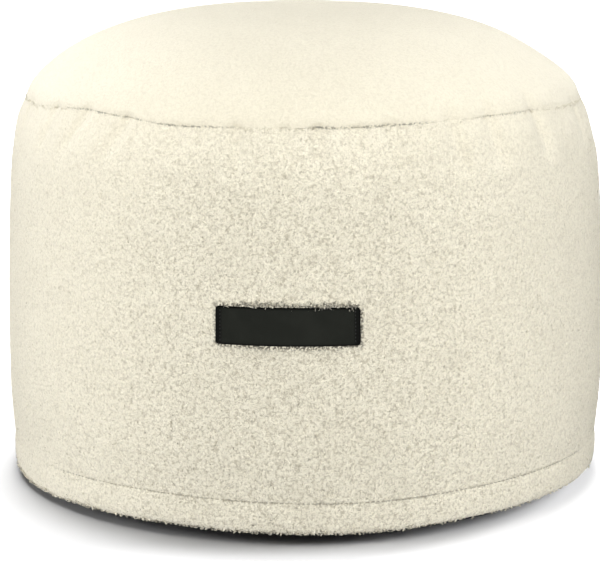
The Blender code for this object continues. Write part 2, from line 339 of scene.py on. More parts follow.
def capped(sides, radius, axis):  # a flat disc that faces sideways, to be drawn out into yarn
    bm = bmesh.new()
    bmesh.ops.create_circle(bm, cap_ends=True, segments=sides, radius=radius)
    bmesh.ops.rotate(bm, verts=bm.verts, cent=(0, 0, 0), matrix=Matrix.Rotation(math.pi / 2, 3, axis))
    return bm


def extruded(bm, face, keep):
    return vertsOf(bmesh.ops.extrude_face_region(bm, geom=[face], use_keep_orig=keep)["geom"])


def pointsOf(piece):
    flat = np.empty(len(piece.data.vertices) * 3)
    piece.data.vertices.foreach_get("co", flat)
    return flat.reshape(-1, 3)


def setPoints(piece, points):
    piece.data.vertices.foreach_set("co", np.ascontiguousarray(points, dtype=np.float64).ravel())
    piece.data.update()


def applied(piece):  # puts what the modifiers make into the piece's own mesh
    graph = bpy.context.evaluated_depsgraph_get()
    seen = piece.evaluated_get(graph)
    made = bpy.data.meshes.new_from_object(seen, preserve_all_data_layers=True, depsgraph=graph)
    piece.modifiers.clear()
    old, name = piece.data, piece.data.name
    piece.data = made
    bpy.data.meshes.remove(old)
    made.name = name


def evenly(points, step, fineStep, fineAt, reach):  # cuts a (radius, height) line, finer at some heights
    points = np.array(points, float)
    lengths = np.linalg.norm(np.diff(points, axis=0), axis=1)
    middle = (points[1:, 1] + points[:-1, 1]) / 2
    near = np.max([np.exp(-(((middle - h) / reach) ** 4)) for h in fineAt], axis=0)
    cuts = np.concatenate([[0.0], np.cumsum(lengths * ((1 - near) / step + near / fineStep))])
    at = np.linspace(0.0, cuts[-1], round(cuts[-1]) + 1)
    return np.stack([np.interp(at, cuts, points[:, 0]), np.interp(at, cuts, points[:, 1])], 1)


def spun(name, profile, segments):  # turns (radius, height) points round the upright axis
    bm = bmesh.new()
    verts = [bm.verts.new((0.0, -radius, height)) for radius, height in profile]
    edges = [bm.edges.new(pair) for pair in zip(verts, verts[1:])]
    turn = {"cent": (0, 0, 0), "axis": (0, 0, 1), "angle": math.tau, "steps": segments}
    bmesh.ops.spin(bm, geom=[*verts, *edges], use_merge=True, use_duplicate=False, **turn)
    bmesh.ops.remove_doubles(bm, verts=bm.verts, dist=1e-6)
    facesOut(bm)
    return makePiece(name, bm)


def polar(points):
    azimuth = np.degrees(np.arctan2(points[:, 0], -points[:, 1]))
    return azimuth, np.hypot(points[:, 0], points[:, 1]), points[:, 2]


filling = {
    "reach": 0.07,  # of the spare cloth, down from the seam
    "hemHold": (0.002, 0.02),  # the cloth is held up to here above the hem's line, fade
    "seamHold": (0.010, 0.008), "frames": 20, "window": 1000,
    "cap": 0.003,  # how far the filling may move the cloth
    "least": 0.001,  # smallest weight that counts
    "cloth": {
        "quality": 3, "mass": 0.3, "shear_stiffness": 5.0, "bending_stiffness": 0.3, "air_damping": 1.0,
        "vertex_group_mass": "held", "pin_stiffness": 1.0, "vertex_group_shrink": "tight",
        "shrink_min": -0.022,  # spare cloth under the seam, as a share of its width
        "shrink_max": 0.0, "use_pressure": True, "uniform_pressure_force": 4.0,
        **dict.fromkeys(("tension_stiffness", "compression_stiffness"), 15.0),
        **dict.fromkeys(("tension_damping", "compression_damping", "shear_damping"), 5.0),
    },
}


def settle(piece, held, tight):  # lets the filling press the cloth into place, spare cloth gathering
    for name, weights in (("held", held), ("tight", tight)):
        group = piece.vertex_groups.new(name=name)
        for index in np.flatnonzero(weights > filling["least"]):
            group.add([int(index)], float(weights[index]), "REPLACE")
    cloth = piece.modifiers.new("filling", "CLOTH")
    for name, value in filling["cloth"].items():
        setattr(cloth.settings, name, value)
    cloth.settings.effector_weights.gravity = 0.0
    cloth.collision_settings.use_collision = False
    cloth.collision_settings.use_self_collision = False
    cloth.point_cache.frame_start, cloth.point_cache.frame_end = 1, filling["frames"]
    for number in range(1, filling["frames"] + 1):
        scene.frame_set(number)
    after = pointsOf(piece.evaluated_get(bpy.context.evaluated_depsgraph_get()))
    before = pointsOf(piece)
    piece.modifiers.clear()
    piece.vertex_groups.clear()
    scene.frame_set(1)
    # The girth stays as it was cut at each height, so only the gathers are kept, and no point goes far.
    move = after - before
    _, radius, height = polar(before)
    _, wider, _ = polar(after)
    outer = held < 1.0 - filling["least"]
    order = np.argsort(height[outer])
    swell = (wider - radius)[outer][order]
    window = np.ones(filling["window"]) / filling["window"]
    swell = np.convolve(np.pad(swell, filling["window"] // 2, mode="edge"), window, "valid")
    swell = np.interp(height, height[outer][order], swell[: outer.sum()]) * outer
    move[:, :2] -= before[:, :2] * (swell / np.maximum(radius, tinyRadius))[:, None]
    far = np.linalg.norm(move, axis=1)
    kept = filling["cap"] * np.tanh(far / filling["cap"]) / np.maximum(far, 1e-9)
    setPoints(piece, before + move * kept[:, None])
    print("settled: points moved by up to", round(float(far.max()) / millimetre, 2), "mm before the cap")


def smoothed(piece):
    finer = piece.modifiers.new("finer", "SUBSURF")
    finer.levels = finer.render_levels = 1
    applied(piece)


def placeKey(part):
    isFace = isinstance(part, bmesh.types.BMFace)
    middle = part.calc_center_median() if isFace else part.co
    return (isFace and len(part.verts) > 4, *(round(v, 6) for v in (middle.z, middle.x, middle.y)))


def closed(piece, *openRims):  # fills each open rim with flat cloth, out of sight
    bm = meshOf(piece)
    known = len(bm.verts), len(bm.faces)
    for low, high, shrink in openRims:
        rim = [e for e in bm.edges if e.is_boundary and low < e.verts[0].co.z < high]
        for share in shrink:
            made = bmesh.ops.extrude_edge_only(bm, edges=rim)["geom"]
            rim = [e for e in made if isinstance(e, bmesh.types.BMEdge) and e.is_boundary]
            for vert in vertsOf(made):
                vert.co.x, vert.co.y = vert.co.x * share, vert.co.y * share
        bmesh.ops.contextual_create(bm, geom=rim)
    facesOut(bm)
    # The new parts come in no fixed order, and the curls are scattered by it, so they are put in one.
    for parts, count in zip((bm.verts, bm.faces), known):
        parts.index_update()
        for number, part in enumerate(sorted(list(parts)[count:], key=placeKey), count):
            part.index = number
        parts.sort()
    putBack(piece, bm)
    piece.data.set_sharp_from_angle(angle=math.radians(60))


# Node trees.
def node(tree, kind, inputs=None, **settings):  # a node with values or links put in; gives its outputs
    made = tree.nodes.new(kind)
    for name, value in settings.items():
        setattr(made, name, value)
    for socket, value in (inputs or {}).items():
        if isinstance(value, bpy.types.NodeSocket):
            tree.links.new(value, made.inputs[socket])
        else:
            made.inputs[socket].default_value = value
    return made.outputs


def calc(tree, operation, *values, clamp=False):
    inputs = dict(enumerate(values))
    return node(tree, "ShaderNodeMath", inputs, operation=operation, use_clamp=clamp)[0]


def shifted(tree, place, shift):
    return node(tree, "ShaderNodeVectorMath", {0: place, 1: shift}, operation="ADD")[0]


def noise(tree, place, scale, shift=(0.0, 0.0, 0.0), detail=0.0, distortion=0.0):
    inputs = {"Vector": shifted(tree, place, shift), "Scale": scale, "Detail": detail}
    return node(tree, "ShaderNodeTexNoise", {**inputs, "Distortion": distortion})[0]


def curlField(tree, place):  # 1 on the curls' backs, 0 in the creases between them
    total = None
    for scale, share, shift in pile["cells"]:
        cells = node(tree, "ShaderNodeTexVoronoi", {"Scale": scale, "Vector": shifted(tree, place, shift)})
        puff = calc(tree, "MULTIPLY", cells["Distance"], pile["slope"])
        puff = calc(tree, "MULTIPLY", calc(tree, "SUBTRACT", pile["crest"], puff, clamp=True), share)
        total = puff if total is None else calc(tree, "ADD", total, puff)
    scale, share, shift, steep, distortion = pile["fine"]
    grey = noise(tree, place, scale, shift, distortion=distortion)
    puff = calc(tree, "MULTIPLY", calc(tree, "ABSOLUTE", calc(tree, "SUBTRACT", grey, 0.5)), steep)
    puff = calc(tree, "MULTIPLY", calc(tree, "MINIMUM", puff, 1.0), share)
    return calc(tree, "ADD", total, puff)


def mixColours(tree, share, low, high):
    low, high = ((*c, 1.0) if isinstance(c, tuple) else c for c in (low, high))
    inputs = {"Factor": share, "A": low, "B": high}
    return node(tree, "ShaderNodeMix", inputs, data_type="RGBA")["Result"]


def span(tree, value, low, high):  # 0 at low, 1 at high
    inputs = {"Value": value, "From Min": low, "From Max": high}
    return node(tree, "ShaderNodeMapRange", inputs, interpolation_type="SMOOTHSTEP")[0]


def bump(tree, height, distance, strength=1.0):
    inputs = {"Height": height, "Distance": distance, "Strength": strength}
    return node(tree, "ShaderNodeBump", inputs)[0]


def attribute(tree, name, kind="Fac"):
    return node(tree, "ShaderNodeAttribute", attribute_name=name)[kind]


def newMaterial(name):
    made = bpy.data.materials.new(name)
    made.use_nodes = True
    made.node_tree.nodes.clear()
    return made, made.node_tree


def onPiece(tree):
    return node(tree, "ShaderNodeTexCoord")["Object"]


def shaded(made, look, colour, normal=None, **inputs):
    inputs = {**look["shader"], "Base Color": colour, **inputs}
    if normal:
        inputs["Normal"] = normal
    shader = node(made.node_tree, "ShaderNodeBsdfPrincipled", inputs)[0]
    node(made.node_tree, "ShaderNodeOutputMaterial", {"Surface": shader})
    return made


# Materials.
clothLook = {
    "shader": {
        "Roughness": 0.95, "Specular IOR Level": 0.2, "Sheen Weight": 0.6, "Sheen Roughness": 0.6,
        "Sheen Tint": (1.0, 0.97, 0.88, 1.0),
    },
    # crease: the colour of painted shade that darkens the creases between the curls
    "light": (0.93, 0.877, 0.712), "brushed": (0.90, 0.847, 0.685), "creaseShade": (0.57, 0.52, 0.40),
    # sewn: the colour of the painted shade along the sewn lines and of the painted shadow round the label
    "sewn": (0.12, 0.11, 0.08),
    "nap": (22.0, (0.2, 0.5, 0.1), 2.0),  # waves a metre, shift, detail
    "creaseSpan": (0.12, 0.72),
    "even": 0.45,  # share of the painted crease shade that stays where the pile lies flat
    "crossing": (560, (0.6, 0.2, 0.4)),
    "flatBump": 0.5,  # share of the bump where the pile lies flat
}


def curlyCloth():
    look = clothLook
    made, tree = newMaterial("curlyCloth")
    place = attribute(tree, "cloth", "Vector")
    curl = curlField(tree, place)
    scale, shift, detail = look["nap"]
    nap = span(tree, noise(tree, place, scale, shift, detail=detail), 0.3, 0.7)
    brushed = mixColours(tree, nap, look["brushed"], look["light"])
    share = attribute(tree, "pileShare")
    # Painted shade in the creases between the curls: depth is 1 in a crease, 0 on a curl's back.
    depth = calc(tree, "SUBTRACT", 1.0, span(tree, curl, *look["creaseSpan"]))
    # Where the pile lies flatter the painted crease shade is paler, and the cloth is as light on the whole.
    depth = calc(tree, "MULTIPLY", calc(tree, "SUBTRACT", depth, look["even"]), share)
    depth = calc(tree, "ADD", depth, look["even"])
    colour = mixColours(tree, depth, brushed, look["creaseShade"])
    # Painted shade along the sewn lines and round the label; single curls cross the sewn lines and break it
    # up.
    crossed = span(tree, noise(tree, place, *look["crossing"]), 0.62, 0.38)
    crossed = calc(tree, "MULTIPLY", attribute(tree, "sewnShade"), crossed, clamp=True)
    colour = mixColours(tree, crossed, colour, look["sewn"])
    flat = look["flatBump"]
    relief = calc(tree, "MULTIPLY", curl, calc(tree, "MULTIPLY_ADD", share, 1.0 - flat, flat))
    return shaded(made, look, colour, bump(tree, relief, pile["bump"]))


baseLook = {
    "shader": {"Roughness": 0.9, "Specular IOR Level": 0.1},
    "dark": (0.003, 0.003, 0.004), "light": (0.012, 0.012, 0.013),
    "weave": 250.0,  # waves a metre
    "distortion": 0.4,
    "bump": (0.0003, 0.7),  # height, strength
}


def baseCloth():
    look = baseLook
    made, tree = newMaterial("baseCloth")
    inputs = {"Vector": onPiece(tree), "Scale": look["weave"], "Distortion": look["distortion"]}
    weave = None
    for axis in ("X", "Y"):
        wave = node(tree, "ShaderNodeTexWave", inputs, bands_direction=axis)[0]
        weave = wave if weave is None else calc(tree, "MULTIPLY", weave, wave)
    colour = mixColours(tree, weave, look["dark"], look["light"])
    return shaded(made, look, colour, bump(tree, weave, *look["bump"]))


leatherLook = {
    "shader": {"Specular IOR Level": 0.04},
    "dark": (0.0105, 0.0115, 0.0090), "light": (0.0145, 0.0156, 0.0126),
    "rim": (0.0008, 0.0008, 0.0005),
    "grain": 1100.0,  # cells a metre
    "grainWidth": 0.25, "wear": 60.0, "wearSpan": (0.3, 0.75),
    "roughness": (0.25, 0.45),  # more where worn, least
    "bump": (0.0002, 0.5),
}


def labelLeather():
    look = leatherLook
    made, tree = newMaterial("labelLeather")
    where = onPiece(tree)
    inputs = {"Vector": where, "Scale": look["grain"]}
    cells = node(tree, "ShaderNodeTexVoronoi", inputs, feature="DISTANCE_TO_EDGE")
    grain = span(tree, cells["Distance"], 0.0, look["grainWidth"])
    wear = noise(tree, where, look["wear"], detail=4.0)
    worn = span(tree, wear, *look["wearSpan"])
    colour = mixColours(tree, worn, look["dark"], look["light"])
    colour = mixColours(tree, attribute(tree, "rim"), colour, look["rim"])
    rough = calc(tree, "MULTIPLY_ADD", wear, *look["roughness"])
    return shaded(made, look, colour, bump(tree, grain, *look["bump"]), Roughness=rough)


threadLook = {
    "shader": {"Roughness": 0.7},
    # hem: the hem thread's own tone, made darker as painted shade of the holes where it sinks into the pile
    "hem": ((0.30, 0.27, 0.20), (0.50, 0.46, 0.36)),
    "label": ((0.002, 0.002, 0.002), (0.006, 0.006, 0.006)),
    "twist": 1800.0,  # turns a metre
    "bump": (0.0001, 0.8),
}


def thread(name, dark, light):
    made, tree = newMaterial(name)
    twist = noise(tree, onPiece(tree), threadLook["twist"], detail=2.0)
    colour = mixColours(tree, span(tree, twist, 0.3, 0.7), dark, light)
    return shaded(made, threadLook, colour, bump(tree, twist, *threadLook["bump"]))


finishes = {
    "cloth": curlyCloth(),
    "base": baseCloth(),
    "leather": labelLeather(),
    "hemThread": thread("hemThread", *threadLook["hem"]),
    "labelThread": thread("labelThread", *threadLook["label"]),
}
print("materials made")


# The curly surface of a cloth.
def shapeTree(name):
    tree = bpy.data.node_groups.new(name, "GeometryNodeTree")
    for way in ("INPUT", "OUTPUT"):
        tree.interface.new_socket("Geometry", in_out=way, socket_type="NodeSocketGeometry")
    return tree, tree.nodes.new("NodeGroupInput").outputs[0], tree.nodes.new("NodeGroupOutput").inputs[0]


def stored(tree, name):
    return node(tree, "GeometryNodeInputNamedAttribute", {"Name": name}, data_type="FLOAT")["Attribute"]


def here(tree):
    return node(tree, "GeometryNodeInputPosition")[0]


def keepPlace(tree, shape):  # keeps each point's place as the attribute that the cloth's material reads
    inputs = {"Geometry": shape, "Name": "cloth", "Value": here(tree)}
    return node(tree, "GeometryNodeStoreNamedAttribute", inputs, data_type="FLOAT_VECTOR")[0]


def curlTree():
    tree, start, end = shapeTree("curlRelief")
    curl = calc(tree, "SUBTRACT", curlField(tree, here(tree)), pile["level"])
    curl = calc(tree, "MULTIPLY", calc(tree, "MULTIPLY", curl, pile["height"]), stored(tree, "pileShare"))
    normal = node(tree, "GeometryNodeInputNormal")[0]
    move = node(tree, "ShaderNodeVectorMath", {0: normal, "Scale": curl}, operation="SCALE")[0]
    shift = node(tree, "GeometryNodeSetPosition", {"Geometry": keepPlace(tree, start), "Offset": move})
    tree.links.new(shift[0], end)
    return tree


reliefTree = curlTree()


def growRelief(piece):
    piece.modifiers.new("curlRelief", "NODES").node_group = reliefTree
    applied(piece)
    piece.data.shade_smooth()
    piece.data.set_sharp_from_angle(angle=math.radians(65))


# Single curls of yarn that stand on the cloth.
def curlShapes():
    draw = np.random.default_rng(curls["shapeSeed"])
    kept = bpy.data.collections.new("curlShapes")
    for kind in range(curls["kinds"]):
        loop = curls["loop"] * draw.uniform(*curls["loopRange"])
        yarn = curls["yarn"] * draw.uniform(*curls["yarnRange"])
        bm = capped(curls["sides"], yarn * curls["tip"], "X")
        bend = draw.uniform(*curls["bendRange"]) / curls["steps"]
        rise = draw.uniform(*curls["riseRange"]) * curls["rise"] * millimetre
        for step, (way, size) in enumerate(((1, 1.0 / curls["tip"]), (-1, curls["tip"]))):
            tip = extruded(bm, bm.faces[:][-1] if step else bm.faces[:][0], step == 0)
            bmesh.ops.rotate(bm, verts=tip, cent=(loop, 0, 0), matrix=Matrix.Rotation(-bend, 3, "Z"))
            bmesh.ops.translate(bm, verts=tip, vec=(0, 0, rise * way))
            middle = middleOf(tip)
            for v in tip:
                v.co = middle + (v.co - middle) * size
            bm.faces.ensure_lookup_table()
        middle = middleOf(bm.verts)
        bmesh.ops.translate(bm, verts=bm.verts, vec=(-middle.x, -middle.y, -curls["sink"]))
        facesOut(bm)
        shape = makePiece("curlShape" + str(kind), bm, finishes["cloth"])
        scene.collection.objects.unlink(shape)
        kept.objects.link(shape)
    return kept


def growCurls(name, skin, share, pitch, seed, window=None, sink=0.0, lean=curls["tilt"], size="curlSize"):
    tree, start, end = shapeTree(name)
    inputs = {"Mesh": start, "Distance Min": pitch, "Density Max": curls["most"], "Seed": seed}
    inputs["Density Factor"] = stored(tree, share)
    spread = node(tree, "GeometryNodeDistributePointsOnFaces", inputs, distribute_method="POISSON")
    points = spread["Points"]
    if window:  # keeps only one sector of the cloth, azimuths from and to
        split = node(tree, "ShaderNodeSeparateXYZ", {0: here(tree)})
        about = calc(tree, "ARCTAN2", split["X"], calc(tree, "MULTIPLY", split["Y"], -1.0))
        middle, reach = (math.radians(a) / 2 for a in (window[0] + window[1], window[1] - window[0]))
        away = calc(tree, "PINGPONG", calc(tree, "SUBTRACT", about, middle), math.pi)
        inputs = {"Geometry": points, "Selection": calc(tree, "GREATER_THAN", away, reach)}
        points = node(tree, "GeometryNodeDeleteGeometry", inputs)[0]
    inputs = {"Collection": shapes, "Separate Children": True, "Reset Children": True}
    kinds = node(tree, "GeometryNodeCollectionInfo", inputs)[0]
    inputs = {"Points": points, "Instance": kinds, "Pick Instance": True, "Scale": stored(tree, size)}
    inputs["Rotation"] = spread["Rotation"]
    put = node(tree, "GeometryNodeInstanceOnPoints", inputs)[0]
    inputs = {0: (-lean, -lean, -math.pi), 1: (lean, lean, math.pi)}
    tilt = node(tree, "FunctionNodeRandomValue", inputs, data_type="FLOAT_VECTOR")[0]
    turn = node(tree, "GeometryNodeRotateInstances", {"Instances": put, "Rotation": tilt})[0]
    low, high = curls["sizes"]
    vary = node(tree, "FunctionNodeRandomValue", {"Min": low, "Max": high, "Seed": curls["sizeSeed"]})[1]
    grow = node(tree, "GeometryNodeScaleInstances", {"Instances": turn, "Scale": vary})[0]
    inputs = {"Instances": grow, "Translation": (0.0, 0.0, -sink)}
    lower = node(tree, "GeometryNodeTranslateInstances", inputs)[0]
    real = node(tree, "GeometryNodeRealizeInstances", {0: lower})[0]
    tree.links.new(keepPlace(tree, real), end)
    piece = shown(bpy.data.objects.new(name, skin.data.copy()))
    piece.modifiers.new(name, "NODES").node_group = tree
    applied(piece)
    piece.data.shade_smooth()
    print(name + ":", sum(len(p.vertices) - 2 for p in piece.data.polygons), "triangles")
    return piece


def dashed(line, azimuth, height, dash):  # painted shade: how dark the cloth is along a sewn line
    least, more, less = line["dash"]
    strong = roundRows(line["openness"], azimuth) * (least + more * dash) - less
    above = aboveLine(line, azimuth, height)
    return sewing["shade"] * ease(strong) * np.exp(-((above / line["shadeSpread"]) ** 2))


def fromLabel(azimuth, height):  # how far along from the label's middle, and how far out from its edge
    along = np.abs(np.radians(fromAzimuth(azimuth, label["azimuth"])) * label["wallRadius"])
    up = np.abs(height - label["height"])
    return along, np.maximum(along - halfLength, up - halfWidth)


def sewnShade(azimuth, height):  # painted shade, 1 where the cloth lies in the dark along its sewing, and painted shadow round the label
    count = sewing["dashes"]
    broken = np.random.default_rng(sewing["seed"]).uniform(0.0, 1.0, count)
    dash = np.interp(azimuth % 360.0, np.linspace(0.0, 360.0, count + 1), [*broken, broken[0]])
    share = dashed(seam, azimuth, height, dash) + dashed(hem, azimuth, height, dash)
    along, outside = fromLabel(azimuth, height)
    # Painted shadow round the label, reaching further below its middle.
    more, full, fade = label["shadeBelow"]
    reach = label["shadeReach"] * (1.0 + more * (height < label["height"]) * ease(full - along / fade))
    return share + label["shade"] * ease((reach - outside) / reach)


def mark(piece, name, share):
    layer = piece.data.attributes.new(name, "FLOAT", "POINT")
    layer.data.foreach_set("value", np.ascontiguousarray(share, dtype=np.float32))


# Side panel.
def sideProfile():  # (radius, height) points of the side, open below and above, at half its fineness
    half = hem["thickness"] / 2
    turn = np.linspace(0.0, math.pi, hem["turnSteps"])
    roll = np.stack([inner + half - half * np.cos(turn), hem["edge"] + half - half * np.sin(turn)], 1)
    rows = np.linspace(hem["edge"] + half, hem["height"], hem["rows"])[1:]
    full = hem["fullness"] * np.sin(np.pi * (rows - rows[0]) / (rows[-1] - rows[0]))
    band = np.stack([hem["radius"] + full, rows], 1)
    fine, step = seam["height"] - seam["fineZone"], side["sample"]
    coarse = np.arange(hem["height"] + step, fine, step)
    heights = np.append(coarse, np.linspace(fine, seam["height"] - seam["gap"] / 2, seam["fineRows"]))
    line = np.concatenate([roll, band, np.stack([sideRadius(heights), heights], 1)])
    steps = side["step"] * 2, side["fineStep"] * 2
    outer = evenly(line, *steps, (hem["height"], seam["height"]), side["fineReach"])
    return [(inner, base["top"]), *outer]


def rolled(name, profile, segments):  # a grid rolled round the upright axis
    piece = grid(name, segments, len(profile) - 1)
    flat = pointsOf(piece)
    azimuth = flat[:, 0] * 180.0
    row = (flat[:, 1] + 1.0) / 2 * (len(profile) - 1)
    profile = np.array(profile, float)
    rows = np.arange(len(profile))
    points = placed(azimuth, np.interp(row, rows, profile[:, 0]), np.interp(row, rows, profile[:, 1]))
    setPoints(piece, points)
    bm = meshOf(piece)
    bmesh.ops.remove_doubles(bm, verts=bm.verts, dist=1e-6)
    facesOut(bm)
    putBack(piece, bm)
    return piece


def fuller(sizes, full):  # a share or a size that grows with how full the pile stands
    least, more, most = sizes
    return least + more * np.minimum(full, most)


def makeSide():
    piece = rolled("side_cloth", sideProfile(), side["segments"] // 2)
    _, radius, height = polar(pointsOf(piece))
    start, fade = filling["hemHold"]
    held = 1.0 - ease((height - hem["height"] - start) / fade) * (radius > flatEdge)
    start, fade = filling["seamHold"]
    held = np.maximum(held, ease((height - seam["height"] + start) / fade))
    settle(piece, held, ease((seam["height"] - height) / filling["reach"]))
    smoothed(piece)
    closed(piece, rims["foot"], rims["seam"])
    points = pointsOf(piece)
    _, radius, height = polar(points)
    flatten = (radius < flatEdge) & (height > rims["seam"][0])
    points[flatten, 2] = np.minimum(points[flatten, 2], seam["height"] - seam["flatDrop"])
    setPoints(piece, carved(points))
    azimuth, radius, height = polar(pointsOf(piece))
    outward, upward = hem["hidden"]
    hidden = (radius < inner + outward) & (height < base["top"] + upward)
    hidden |= (radius < flatEdge) & (height > rims["seam"][0])
    along, outside = fromLabel(azimuth, height)
    beyond, fade = label["bare"]  # no curls grow under the label
    share = np.where(hidden, 0.0, 1.0) * (1.0 - ease((beyond - outside) / fade))
    standing = roundRows(pile["standing"], azimuth)
    full = smoothRows(side["pile"], np.clip(height, 0.0, side["pile"][-1][0])) * standing
    mark(piece, "curlShare", share)
    mark(piece, "pileShare", share * full)
    mark(piece, "curlSize", fuller(side["curlSize"], full))
    mark(piece, "sewnShade", sewnShade(azimuth, height))
    above = aboveLine(seam, azimuth, height)
    low, high = seam["curlBand"]
    near = (above > low) & (above < high) & (radius > seam["radius"] - seam["curlDepth"])
    least, more, none = seam["curlShare"]
    shut = ease(1.0 - roundRows(seam["openness"], azimuth) / none) ** 2
    mark(piece, "seamShare", near * (least + more * shut))
    edge = (height < hem["edge"] + hem["edgeReach"]) & (radius > inner + hem["edgeInset"]) & ~hidden
    mark(piece, "edgeShare", edge)
    mark(piece, "edgeSize", fuller(hem["edgeSize"], standing))
    above = height - label["height"] - halfWidth
    low, high = label["rimBand"]
    near = (along < halfLength - label["rimInset"]) & (above > low) & (above < high)
    mark(piece, "rimShare", near)
    piece.data.materials.append(finishes["cloth"])
    print("side cloth:", len(piece.data.polygons), "faces")
    return piece


# Top panel.
def crownCurve():  # the crown's plain curve: radius, height above the seam, length from its edge
    angle = np.linspace(0.0, math.pi / 2, top["samples"])
    out = seam["radius"] * np.cos(angle) ** top["round"]
    up = (topHigh[2] - seam["height"]) * np.sin(angle) ** top["rise"]
    return out, up, np.append(0.0, np.cumsum(np.hypot(np.diff(out), np.diff(up))))


def makeTop():
    piece = grid("top_cloth", top["cells"], top["cells"])
    flat = pointsOf(piece)
    # The square grid is rounded to a disc, then laid over the crown by the length of its curve.
    x = flat[:, 0] * np.sqrt(1.0 - flat[:, 1] ** 2 / 2)
    y = flat[:, 1] * np.sqrt(1.0 - flat[:, 0] ** 2 / 2)
    out, up, along = crownCurve()
    at = along[-1] * (1.0 - np.hypot(x, y))
    height = seam["height"] + np.interp(at, along, up)
    setPoints(piece, placed(np.degrees(np.arctan2(x, -y)), np.interp(at, along, out), height))
    smoothed(piece)
    closed(piece, rims["seam"])
    points = pointsOf(piece)
    _, radius, height = polar(points)
    flatten = (radius < flatEdge) & (height < seam["height"] + top["flatZone"])
    points[flatten, 2] = np.minimum(points[flatten, 2], seam["height"] + seam["gap"] / 2)
    setPoints(piece, carved(points))
    azimuth, radius, height = polar(pointsOf(piece))
    under = (radius < flatEdge) & (height < seam["height"] + top["underZone"])
    mark(piece, "pileShare", (1.0 - under) * top["pileShare"])
    mark(piece, "sewnShade", sewnShade(azimuth, height))
    mark(piece, "curlSize", np.full(len(height), top["curlSize"]))
    mark(piece, "curlShare", 1.0 - under)
    piece.data.materials.append(finishes["cloth"])
    print("top cloth:", len(piece.data.polygons), "faces")
    return piece


# Base cloth.
def makeBase():
    radius, high = baseHigh[0], baseHigh[2]
    turn = np.linspace(0.0, math.pi / 2, base["turnSteps"])
    tuck = [(radius - base["tuck"] * (1 - math.sin(a)), base["lift"] * (1 - math.cos(a))) for a in turn]
    flats = [(r, 0.0) for r in np.linspace(0.0, radius - base["tuck"] - base["margin"], base["rings"])]
    tops = [(radius, base["shoulder"]), (radius, high), (radius / 2, high), (0.0, high)]
    piece = spun("base_cloth", [*flats, *tuck, *tops], base["segments"])
    piece.data.materials.append(finishes["base"])
    print("base cloth made")
    return piece


# Label.
def onLabel(along, up, outward):  # a point of the label from its place on the flat strip
    bend = sideRadius(np.array([label["height"]]))[0]
    bow = label["bowFoot"] + (label["bowTop"] - label["bowFoot"]) * (up / label["width"] + 0.5)
    bow = bow * (1.0 - (2.0 * along / label["length"]) ** 2)
    height = label["height"] + up
    radius = sideRadius(height) + seam["gap"] + bow + outward
    return placed(label["azimuth"] + np.degrees(along / bend), radius, height)


def depthOf(edge):
    return abs(edge.verts[0].co.y - edge.verts[1].co.y)


def makeLabel():
    bm = bmesh.new()
    bmesh.ops.create_cube(bm, size=1.0)
    bmesh.ops.scale(bm, vec=(label["length"], label["thickness"], label["width"]), verts=bm.verts)
    upright = [e for e in bm.edges if depthOf(e) > label["thickness"] / 2]
    shape = {"profile": 0.5, "affect": "EDGES", "material": -1}
    bmesh.ops.bevel(bm, geom=upright, offset=label["corner"], segments=6, **shape)
    edges = [e for e in bm.edges if depthOf(e) < 1e-6]
    bmesh.ops.bevel(bm, geom=edges, offset=label["edgeRound"], segments=2, **shape)
    for size, count, normal in zip((label["length"], label["width"]), label["cuts"], ((1, 0, 0), (0, 0, 1))):
        for cut in range(1, count):
            place = [(cut / count - 0.5) * size * n for n in normal]
            parts = [*bm.verts, *bm.edges, *bm.faces]
            bmesh.ops.bisect_plane(bm, geom=parts, plane_co=place, plane_no=normal)
    facesOut(bm)
    piece = makePiece("leather_label", bm, finishes["leather"])
    along, across, up = pointsOf(piece).T
    fromEnd, fromSide = halfLength - np.abs(along), halfWidth - np.abs(up)
    width, fade = label["darkRim"]
    rim = 1.0 - ease((np.minimum(fromEnd, fromSide) - width) / fade)
    width, fade, strength = label["darkEnds"]
    mark(piece, "rim", np.maximum(rim, strength * ease((width - fromEnd) / fade)))
    setPoints(piece, onLabel(along, up, label["thickness"] / 2 - across))
    piece.data.set_sharp_from_angle(angle=math.radians(60))
    return piece


# Sewing thread.
stitch = {
    "sides": 5, "end": 0.45,
    # The thread comes up out of the cloth, lies on it, and goes down again: along, up, radius.
    "path": [(-0.36, 0.0, 1.0), (0.0, 0.25, 1.0), (0.36, 0.0, 1.0), (0.5, -1.0, 0.45)],
}


def stitchShape(length, radius):  # one stitch along X
    bm = capped(stitch["sides"], radius * stitch["end"], "Y")
    bmesh.ops.translate(bm, verts=bm.verts, vec=(-length / 2, 0, -radius))
    for number, (x, z, wide) in enumerate(stitch["path"]):
        end = next(f for f in reversed(bm.faces[:]) if len(f.verts) == stitch["sides"])
        tip = extruded(bm, end, number == 0)
        middle = middleOf(tip)
        size = wide * radius / (tip[0].co - middle).length
        for v in tip:
            v.co = Vector((x * length, 0, z * radius)) + (v.co - middle) * size
    facesOut(bm)
    shape = bpy.data.meshes.new("stitchShape")
    bm.to_mesh(shape)
    bm.free()
    return shape


def sewn(name, line, places):  # places: middle, along, outward
    shape = stitchShape(line["stitchLength"], line["thread"])
    bm = bmesh.new()
    for middle, along, outward in places:
        start = len(bm.verts)
        bm.from_mesh(shape)
        bm.verts.ensure_lookup_table()
        along = Vector(along).normalized()
        across = Vector(outward).cross(along).normalized()
        turn = Matrix((along, across, along.cross(across))).transposed().to_4x4()
        bmesh.ops.transform(bm, matrix=Matrix.Translation(middle) @ turn, verts=bm.verts[start:])
    bpy.data.meshes.remove(shape)
    return makePiece(name, bm, finishes[line["finish"]])


